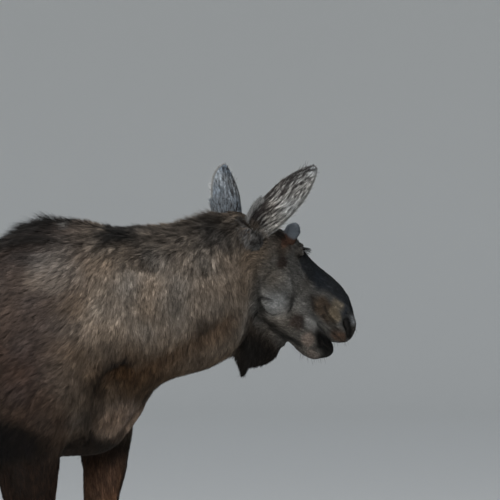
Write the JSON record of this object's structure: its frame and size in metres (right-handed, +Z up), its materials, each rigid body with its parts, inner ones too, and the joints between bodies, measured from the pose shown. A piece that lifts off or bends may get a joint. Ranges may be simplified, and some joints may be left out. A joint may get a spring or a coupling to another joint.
{
  "type": "young bull moose, standing",
  "caption": "Standing young bull moose, head turned to its left, with a dark shaggy crest, long ears, short velvet antler buds and a small bell under the throat.",
  "frame": {"origin": "on the floor under the middle of the bounding box", "axes": "+Z up; +X the way the trunk faces, from tail to chest; +Y the animal's left, the side its head is turned to"},
  "size_m": [2.116, 0.9248, 1.9008],
  "materials": {
    "body_coat": "coarse grey-brown winter coat",
    "leg_coat": "short pale grey-brown hair",
    "face_coat": "short velvety hair, darker on the bridge of the nose",
    "ear_coat": "pale mottled hair with dark streaks",
    "velvet": "short grey velvet",
    "hoof": "dull black horn",
    "eye": "wet dark brown"
  },
  "bodies": {
    "root": {"antler_bud_left": "velvet", "antler_bud_right": "velvet", "dewclaw_foreleg_left_inner": "hoof", "dewclaw_foreleg_left_outer": "hoof", "dewclaw_foreleg_right_inner": "hoof", "dewclaw_foreleg_right_outer": "hoof", "dewclaw_hindleg_left_inner": "hoof", "dewclaw_hindleg_left_outer": "hoof", "dewclaw_hindleg_right_inner": "hoof", "dewclaw_hindleg_right_outer": "hoof", "dewlap": "body_coat", "ear_left": "ear_coat", "ear_right": "ear_coat", "eye_left": "eye", "eye_right": "eye", "foreleg_left": "body_coat", "foreleg_left_shank": "leg_coat", "foreleg_right": "body_coat", "foreleg_right_shank": "leg_coat", "head": "face_coat", "hindleg_left": "body_coat", "hindleg_left_shank": "leg_coat", "hindleg_right": "body_coat", "hindleg_right_shank": "leg_coat", "hoof_foreleg_left_inner": "hoof", "hoof_foreleg_left_outer": "hoof", "hoof_foreleg_right_inner": "hoof", "hoof_foreleg_right_outer": "hoof", "hoof_hindleg_left_inner": "hoof", "hoof_hindleg_left_outer": "hoof", "hoof_hindleg_right_inner": "hoof", "hoof_hindleg_right_outer": "hoof", "lower_jaw": "face_coat", "neck": "body_coat", "tail": "body_coat", "trunk": "body_coat"}
  },
  "joints": []
}
